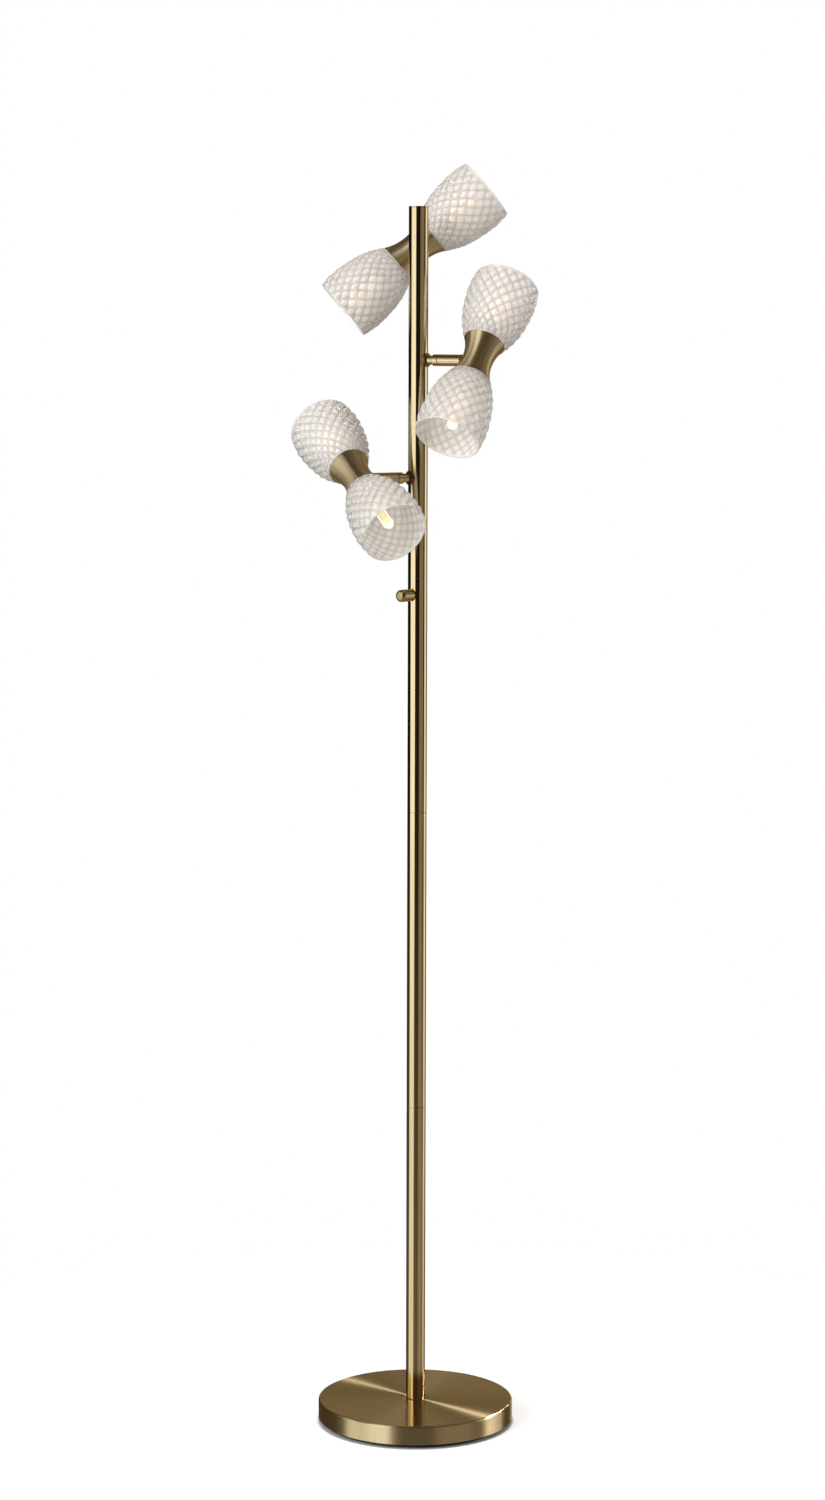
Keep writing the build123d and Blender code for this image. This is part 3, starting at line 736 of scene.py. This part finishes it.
# One of each, copied into the heads and removed after
shade_vertices, shade_faces, crowns, outer_faces = shade_mesh()
shade_data = new_piece("shade_pattern", shade_vertices, shade_faces, glass)
shade_data.data.attributes.new("relief", "FLOAT", "POINT").data.foreach_set("value", crowns)
shade_data.data.materials.append(etched_glass)
for face in shade_data.data.polygons[outer_faces:]:
    face.material_index = 1
bulb_data = new_piece("bulb_pattern", *bulb_glass_mesh(), capsule_glass)
coil_data = new_piece("coil_pattern", *coil_mesh(), hot_wire)
core_data = new_piece("core_pattern", *core_mesh(), hot_core)
leads_data = new_piece("leads_pattern", *leads_mesh(), zinc_steel)
for pattern in (shade_data, bulb_data):
    sharpen(pattern, 40)


def copy_of(pattern, name, matrix, body):
    piece = bpy.data.objects.new(name, pattern.data)
    scene.collection.objects.link(piece)
    piece.matrix_world = matrix
    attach(piece, body)
    return piece


def bulb_light(name, capsule):
    """What the lit bulb gives to the etched inside of its shade."""
    light = bpy.data.lights.new(name, "POINT")
    light.energy = BULB_POWER
    light.color = BULB_LIGHT
    light.shadow_soft_size = BULB_RADIUS * MM
    place = bpy.data.objects.new(name, light)
    place.parent = capsule
    place.location = (0, 0, (COIL_START + COIL_END) / 2 * MM)
    place.visible_glossy = False
    place.light_linking.receiver_collection = lit_by_bulbs
    scene.collection.objects.link(place)


def make_head(name, azimuth, height, lean):
    middle, direction, axis = head_frame(azimuth, height, lean)
    body = f"head_{name}"
    make_shell(name, middle, direction, axis)
    for side, along in (("up", axis), ("down", -axis)):
        matrix = placed(middle, direction, along)
        shade = copy_of(shade_data, f"glass_{name}_{side}", matrix, body)
        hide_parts(f"shade_{name}_{side}")
        lit_by_bulbs.objects.link(shade)
        capsule = copy_of(bulb_data, f"capsule_{name}_{side}", matrix, body)
        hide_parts(f"bulb_{name}_{side}")
        coil = copy_of(coil_data, f"coil_{name}_{side}", matrix, body)
        core = copy_of(core_data, f"core_{name}_{side}", matrix, body)
        leads = copy_of(leads_data, f"leads_{name}_{side}", matrix, body)
        # The light inside stands for these, so they don't shade it
        for piece in (capsule, coil, core, leads):
            piece.visible_shadow = False
        bulb_light(f"light_{name}_{side}", capsule)


lit_by_bulbs = bpy.data.collections.new("lit_by_bulbs")
make_pole()
for arm in ARMS:
    make_head(*arm)
for pattern in (shade_data, bulb_data, coil_data, core_data, leads_data):
    bpy.data.objects.remove(pattern)


# ---------------------------------------------------------------- floor
def make_floor():
    """A disc that takes the lamp's shadow and is as white as the backdrop to the camera."""
    material = bpy.data.materials.new("floor")
    material.use_nodes = True
    tree = material.node_tree
    tree.nodes.clear()
    output = add(tree, "ShaderNodeOutputMaterial")
    diffuse = add(tree, "ShaderNodeBsdfDiffuse")
    diffuse.inputs["Color"].default_value = FLOOR_GREY
    glow = add(tree, "ShaderNodeEmission")
    both = add(tree, "ShaderNodeAddShader")
    choose = add(tree, "ShaderNodeMixShader")
    tree.links.new(outside_the_base(tree), glow.inputs["Strength"])
    tree.links.new(seen_directly(tree), choose.inputs["Fac"])
    tree.links.new(diffuse.outputs[0], choose.inputs[1])
    tree.links.new(diffuse.outputs[0], both.inputs[0])
    tree.links.new(glow.outputs[0], both.inputs[1])
    tree.links.new(both.outputs[0], choose.inputs[2])
    # Metal shows the studio below the horizon in place of the floor
    mirrored = add(tree, "ShaderNodeMixShader")
    clear = add(tree, "ShaderNodeBsdfTransparent")
    path = add(tree, "ShaderNodeLightPath")
    tree.links.new(path.outputs["Is Glossy Ray"], mirrored.inputs["Fac"])
    tree.links.new(choose.outputs[0], mirrored.inputs[1])
    tree.links.new(clear.outputs[0], mirrored.inputs[2])
    tree.links.new(mirrored.outputs[0], output.inputs["Surface"])
    count = FLOOR_SEGMENTS
    angles = [2 * pi * i / count for i in range(count)]
    vertices = [(0, 0, -FLOOR_DROP)] + [
        (FLOOR_RADIUS * cos(angle), FLOOR_RADIUS * sin(angle), -FLOOR_DROP) for angle in angles
    ]
    faces = [(0, 1 + i, 1 + (i + 1) % count) for i in range(count)]
    floor = new_piece("floor", vertices, faces, material, smooth=False)


def outside_the_base(tree):
    """The glow of the floor, which stops where the base keeps the light out."""
    place = add(tree, "ShaderNodeTexCoord")
    length = add(tree, "ShaderNodeVectorMath", operation="LENGTH")
    tree.links.new(place.outputs["Object"], length.inputs[0])
    span = add(tree, "ShaderNodeMapRange", interpolation_type="SMOOTHSTEP")
    span.inputs["From Min"].default_value = BASE_RADIUS * MM * GLOW_EDGE[0]
    span.inputs["From Max"].default_value = BASE_RADIUS * MM * GLOW_EDGE[1]
    span.inputs["To Max"].default_value = FLOOR_GLOW
    tree.links.new(length.outputs["Value"], span.inputs["Value"])
    return span.outputs["Result"]


def seen_directly(tree):
    """1 for camera and transmission rays."""
    path = add(tree, "ShaderNodeLightPath")
    either = add(tree, "ShaderNodeMath", operation="MAXIMUM")
    tree.links.new(path.outputs["Is Camera Ray"], either.inputs[0])
    tree.links.new(path.outputs["Is Transmission Ray"], either.inputs[1])
    return either.outputs[0]


make_floor()

# ---------------------------------------------------------------- light
# What the metal mirrors: a wide soft box on the left, a strip on the right, the dark room on the
# viewer's side and the white backdrop behind. Each list gives the brightness at some azimuths,
# for one band of the height that is looked towards, and the spans say where one band gives way
# to the next, as the Z of that direction.
NADIR_SPAN = (-0.85, -0.77)
LEVEL_SPAN = (-0.36, -0.14)
LEVEL_SPAN_LEFT = (-0.28, -0.12)
LEFT_SPAN = (-0.35, -0.5)  # X of the direction, where the left side takes over
ABOVE_SPAN = (0.1, 0.2)
HIGH_SPAN = (0.6, 0.68)
ZENITH_SPAN = (0.76, 0.86)
NADIR = 0.4
ZENITH = 0.1
STUDIO_BELOW = [
    (-180, 0.4),
    (-150, 0.12),
    (-95, 0.16),
    (-86, 1.15),
    (-36, 1.15),
    (-20, 0.28),
    (28, 0.26),
    (32, 0.44),
    (86, 0.44),
    (91, 0.55),
    (116, 0.55),
    (122, 0.12),
    (148, 0.12),
    (180, 0.4),
]
STUDIO_LEVEL = [
    (-180, 0.01),
    (-90, 0.01),
    (-86, 1.8),
    (-31, 1.8),
    (-28, 0.01),
    (20, 0.01),
    (23, 0.3),
    (68, 0.3),
    (71, 0.05),
    (89, 0.05),
    (92, 1.5),
    (121, 1.5),
    (124, 0.03),
    (148, 0.03),
    (152, 1.0),
    (180, 1.0),
]
STUDIO_ABOVE = [
    (-180, 0.25),
    (-150, 0.12),
    (-106, 0.12),
    (-94, 1.4),
    (-75, 1.4),
    (-72, 0.5),
    (-62, 0.5),
    (-59, 2.7),
    (-33, 2.7),
    (-29, 0.06),
    (20, 0.05),
    (26, 0.12),
    (89, 0.12),
    (93, 0.45),
    (121, 0.45),
    (126, 0.12),
    (150, 0.12),
    (180, 0.25),
]
STUDIO_HIGH = [
    (-180, 0.9),
    (-173, 0.9),
    (-164, 0.08),
    (-62, 0.08),
    (-59, 2.7),
    (-33, 2.7),
    (-29, 0.15),
    (0, 0.3),
    (70, 0.3),
    (90, 0.08),
    (164, 0.08),
    (173, 0.9),
    (180, 0.9),
]


def azimuth_ramp(tree, factor, stops):
    """The brightness at each azimuth. The ramp holds at most 1, so it is scaled up after."""
    peak = max(level for _, level in stops)
    ramp = add(tree, "ShaderNodeValToRGB")
    elements = ramp.color_ramp.elements
    for azimuth, _ in stops[1:-1]:
        elements.new((azimuth + 180) / 360)
    for element, (azimuth, level) in zip(elements, stops):
        element.position = (azimuth + 180) / 360
        element.color = (level / peak, level / peak, level / peak, 1)
    tree.links.new(factor, ramp.inputs["Fac"])
    scaled = add(tree, "ShaderNodeMath", operation="MULTIPLY")
    tree.links.new(ramp.outputs["Color"], scaled.inputs[0])
    scaled.inputs[1].default_value = peak
    return scaled.outputs[0]


def blend_by(tree, factor, low, high):
    """Low where the factor is 0 and high where it is 1. Each is a number or a socket."""
    mix = add(tree, "ShaderNodeMix", data_type="FLOAT")
    tree.links.new(factor, mix.inputs[0])
    for socket, value in ((mix.inputs[2], low), (mix.inputs[3], high)):
        if isinstance(value, float):
            socket.default_value = value
        else:
            tree.links.new(value, socket)
    return mix.outputs[0]


def step_between(tree, value, start, end):
    """0 before the start and 1 after the end, with a soft step between."""
    span = add(tree, "ShaderNodeMapRange", interpolation_type="SMOOTHSTEP")
    span.inputs["From Min"].default_value = start
    span.inputs["From Max"].default_value = end
    tree.links.new(value, span.inputs["Value"])
    return span.outputs["Result"]


def make_world():
    """White to the camera, mostly white through glass, and the studio for all else."""
    world = bpy.data.worlds.new("studio")
    world.use_nodes = True
    scene.world = world
    tree = world.node_tree
    tree.nodes.clear()
    place = add(tree, "ShaderNodeTexCoord")
    parts = add(tree, "ShaderNodeSeparateXYZ")
    tree.links.new(place.outputs["Generated"], parts.inputs[0])
    away = add(tree, "ShaderNodeMath", operation="MULTIPLY")
    away.inputs[1].default_value = -1
    tree.links.new(parts.outputs["Y"], away.inputs[0])
    angle = add(tree, "ShaderNodeMath", operation="ARCTAN2")
    tree.links.new(parts.outputs["X"], angle.inputs[0])
    tree.links.new(away.outputs[0], angle.inputs[1])
    share = add(tree, "ShaderNodeMath", operation="MULTIPLY_ADD")
    share.inputs[1].default_value = 1 / (2 * pi)
    share.inputs[2].default_value = 0.5
    tree.links.new(angle.outputs[0], share.inputs[0])
    height = parts.outputs["Z"]
    below = azimuth_ramp(tree, share.outputs[0], STUDIO_BELOW)
    level = azimuth_ramp(tree, share.outputs[0], STUDIO_LEVEL)
    above = azimuth_ramp(tree, share.outputs[0], STUDIO_ABOVE)
    high = azimuth_ramp(tree, share.outputs[0], STUDIO_HIGH)
    room = blend_by(tree, step_between(tree, height, *NADIR_SPAN), NADIR, below)
    # On the left the level band gives way over a shorter span than elsewhere
    left = step_between(tree, parts.outputs["X"], *LEFT_SPAN)
    elsewhere = step_between(tree, height, *LEVEL_SPAN)
    on_the_left = step_between(tree, height, *LEVEL_SPAN_LEFT)
    room = blend_by(tree, blend_by(tree, left, elsewhere, on_the_left), room, level)
    room = blend_by(tree, step_between(tree, height, *ABOVE_SPAN), room, above)
    room = blend_by(tree, step_between(tree, height, *HIGH_SPAN), room, high)
    room = blend_by(tree, step_between(tree, height, *ZENITH_SPAN), room, ZENITH)

    path = add(tree, "ShaderNodeLightPath")
    refracted = mostly_white(tree, room)
    through = blend_by(tree, path.outputs["Is Transmission Ray"], room, refracted)
    seen = blend_by(tree, path.outputs["Is Camera Ray"], through, 1.0)
    background = add(tree, "ShaderNodeBackground")
    tree.links.new(warmth(tree, seen), background.inputs["Color"])
    tree.links.new(seen, background.inputs["Strength"])
    output = add(tree, "ShaderNodeOutputWorld")
    tree.links.new(background.outputs[0], output.inputs["Surface"])


WARM = (1.0, 0.86, 0.66, 1)
NEUTRAL = (1.0, 1.0, 1.0, 1)
COOL = (0.88, 0.93, 1.0, 1)
BACKDROP_SEEN = 0.62
ROOM_SEEN = 0.4


def warmth(tree, seen):
    """The dim room is warm, the white backdrop neutral and the soft boxes a little cool."""
    share = add(tree, "ShaderNodeMath", operation="MULTIPLY")
    share.inputs[1].default_value = 0.5
    tree.links.new(seen, share.inputs[0])
    ramp = add(tree, "ShaderNodeValToRGB")
    elements = ramp.color_ramp.elements
    elements.new(0.5)
    for element, position, color in zip(elements, (0.05, 0.5, 0.65), (WARM, NEUTRAL, COOL)):
        element.position = position
        element.color = color
    tree.links.new(share.outputs[0], ramp.inputs["Fac"])
    return ramp.outputs["Color"]


def mostly_white(tree, room):
    """What glass refracts: the white backdrop with a hint of the room."""
    mix = add(tree, "ShaderNodeMath", operation="MULTIPLY_ADD")
    tree.links.new(room, mix.inputs[0])
    mix.inputs[1].default_value = ROOM_SEEN
    mix.inputs[2].default_value = BACKDROP_SEEN
    return mix.outputs[0]


make_world()


AIM_HEIGHT = 0.03  # metres


def area_light(name, azimuth, elevation, distance, size, power):
    """A soft box that faces the base."""
    light = bpy.data.lights.new(name, "AREA")
    light.shape = "RECTANGLE"
    light.size, light.size_y = size
    light.energy = power
    towards = Vector(
        (
            sin(radians(azimuth)) * cos(radians(elevation)),
            -cos(radians(azimuth)) * cos(radians(elevation)),
            sin(radians(elevation)),
        )
    )
    place = bpy.data.objects.new(name, light)
    place.rotation_euler = towards.to_track_quat("Z", "Y").to_euler()
    place.location = towards * distance + UP * AIM_HEIGHT
    scene.collection.objects.link(place)
    return place


# A small lamp behind on the right, for the base's cover alone, draws the bright line across
# its grooves
strip = area_light("strip", 128.0, 43.2, 3.0, (0.04, 0.04), 90.0)
strip.visible_diffuse = False
strip.light_linking.receiver_collection = bpy.data.collections.new("lit_by_strip")
strip.light_linking.receiver_collection.objects.link(frame["nodes"]["base_cover"])
# Wide ones light what isn't metal. The metal mirrors the studio instead of them
for fill in (
    ("overhead", 0, 80, 4.0, (3.0, 3.0), 40.0),
    ("fill_left", -50, 35, 4.0, (2.5, 2.5), 100.0),
    ("fill_right", 60, 30, 4.0, (2.0, 2.0), 60.0),
):
    area_light(*fill).visible_glossy = False


# ---------------------------------------------------------------- camera
def make_camera():
    data = bpy.data.cameras.new("camera")
    data.sensor_width = SENSOR
    data.lens = FOCAL_PIXELS / max(IMAGE_SIZE) * SENSOR
    data.shift_x = -(CENTRE_COLUMN - IMAGE_SIZE[0] / 2) / max(IMAGE_SIZE)
    data.clip_start, data.clip_end = 0.1, 50
    camera = bpy.data.objects.new("camera", data)
    scene.collection.objects.link(camera)
    place = Matrix.Translation(Vector((0, -CAMERA_DISTANCE, CAMERA_HEIGHT)) * MM)
    tilt = Matrix.Rotation(pi / 2 - CAMERA_PITCH, 4, "X")
    roll = Matrix.Rotation(CAMERA_ROLL, 4, "Z")
    camera.matrix_world = place @ tilt @ roll
    scene.camera = camera


make_camera()
scene.view_settings.view_transform = "Standard"
